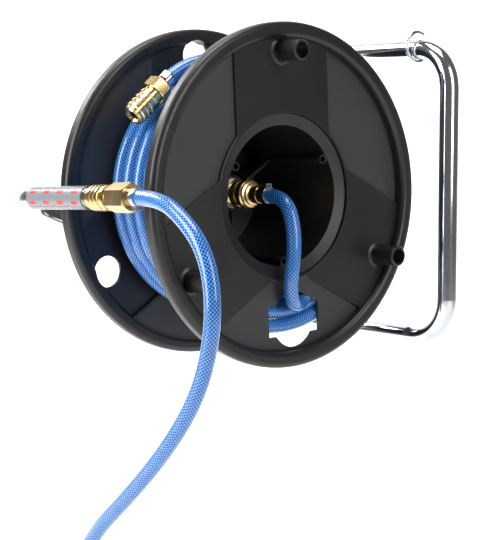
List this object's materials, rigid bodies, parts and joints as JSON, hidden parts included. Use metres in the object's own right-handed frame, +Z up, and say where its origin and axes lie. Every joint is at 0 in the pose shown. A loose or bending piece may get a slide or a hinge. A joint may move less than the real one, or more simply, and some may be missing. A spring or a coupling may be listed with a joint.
{
  "type": "hose reel",
  "caption": "Portable compressed-air hose reel: flanged drum with braided hose on a bent tube frame with grip, swivel feed and quick couplers.",
  "frame": {"origin": "on the centreline of the frame's upright crosspiece, level with the drum's axis", "axes": "+Z up along the crosspiece, +Y from the crosspiece toward the rear of the reel and along the drum's axis, +X away from the drum"},
  "size_m": [0.3708, 0.3101, 0.5643],
  "materials": {
    "black_moulding": "lightly textured, soft sheen",
    "bright_tube": "polished plating",
    "grip_vinyl": "matt with a printed pattern",
    "pale_brass": "pale, satin, lightly tarnished",
    "clamp_steel": "bright stamped steel",
    "wire_steel": "drawn wire",
    "spring_steel": "polished",
    "zinc_screw": "zinc plated",
    "blue_hose": "translucent with a braid inside",
    "bearing_plastic": "natural acetal",
    "seal_rubber": "matt",
    "plug_rubber": "matt, dark grey"
  },
  "bodies": {
    "frame": {"frame_tube": "bright_tube", "grip_sleeve": "grip_vinyl", "hose_hook": "wire_steel", "arm_plug": "plug_rubber", "rear_thrust_washer": "bearing_plastic", "front_thrust_washer": "bearing_plastic", "axle_collar": "clamp_steel", "swivel_stem": "pale_brass", "swivel_seals": "seal_rubber", "swivel_circlip": "spring_steel", "inlet_nipple": "pale_brass", "inlet_coupler_body": "pale_brass", "inlet_coupler_spring": "spring_steel", "inlet_coupler_balls": "spring_steel", "inlet_coupler_seal": "seal_rubber", "inlet_coupler_valve": "pale_brass", "inlet_hose_tail": "pale_brass", "inlet_hose_clamp": "clamp_steel", "supply_hose": "blue_hose", "supply_hose_tail": "pale_brass", "supply_hose_clamp": "clamp_steel", "supply_plug_nipple": "pale_brass"},
    "drum": {"front_flange": "black_moulding", "rear_flange": "black_moulding", "drum_core": "black_moulding", "hub_cup": "black_moulding", "hub_screws": "zinc_screw", "front_axle_bush": "bearing_plastic", "rear_axle_bush": "bearing_plastic", "swivel_rotor": "pale_brass", "hub_hose_tail": "pale_brass", "hub_hose_clamp": "clamp_steel", "hub_hose": "blue_hose", "hose_coil": "blue_hose", "hose_end": "blue_hose", "end_hose_tail": "pale_brass", "end_hose_clamp": "clamp_steel", "end_coupler_body": "pale_brass", "end_coupler_spring": "spring_steel", "end_coupler_balls": "spring_steel", "end_coupler_seal": "seal_rubber", "end_coupler_valve": "pale_brass"},
    "inlet_sleeve": {"inlet_coupler_sleeve": "pale_brass"},
    "end_sleeve": {"end_coupler_sleeve": "pale_brass"}
  },
  "joints": [
    {"name": "drum_spin", "type": "hinge", "parent": "frame", "child": "drum", "pos_m": [-0.174, 0.17, 0], "axis": [0, 1, 0], "continuous": true},
    {"name": "inlet_sleeve_slide", "type": "slide", "parent": "frame", "child": "inlet_sleeve", "axis": [0, -0.9994, 0.0349], "range_m": [0, 0.004], "stiffness_N_per_m": 800, "springref_m": -0.004},
    {"name": "end_sleeve_slide", "type": "slide", "parent": "drum", "child": "end_sleeve", "axis": [0.7547, 0, 0.6561], "range_m": [0, 0.004], "stiffness_N_per_m": 800, "springref_m": -0.004}
  ]
}
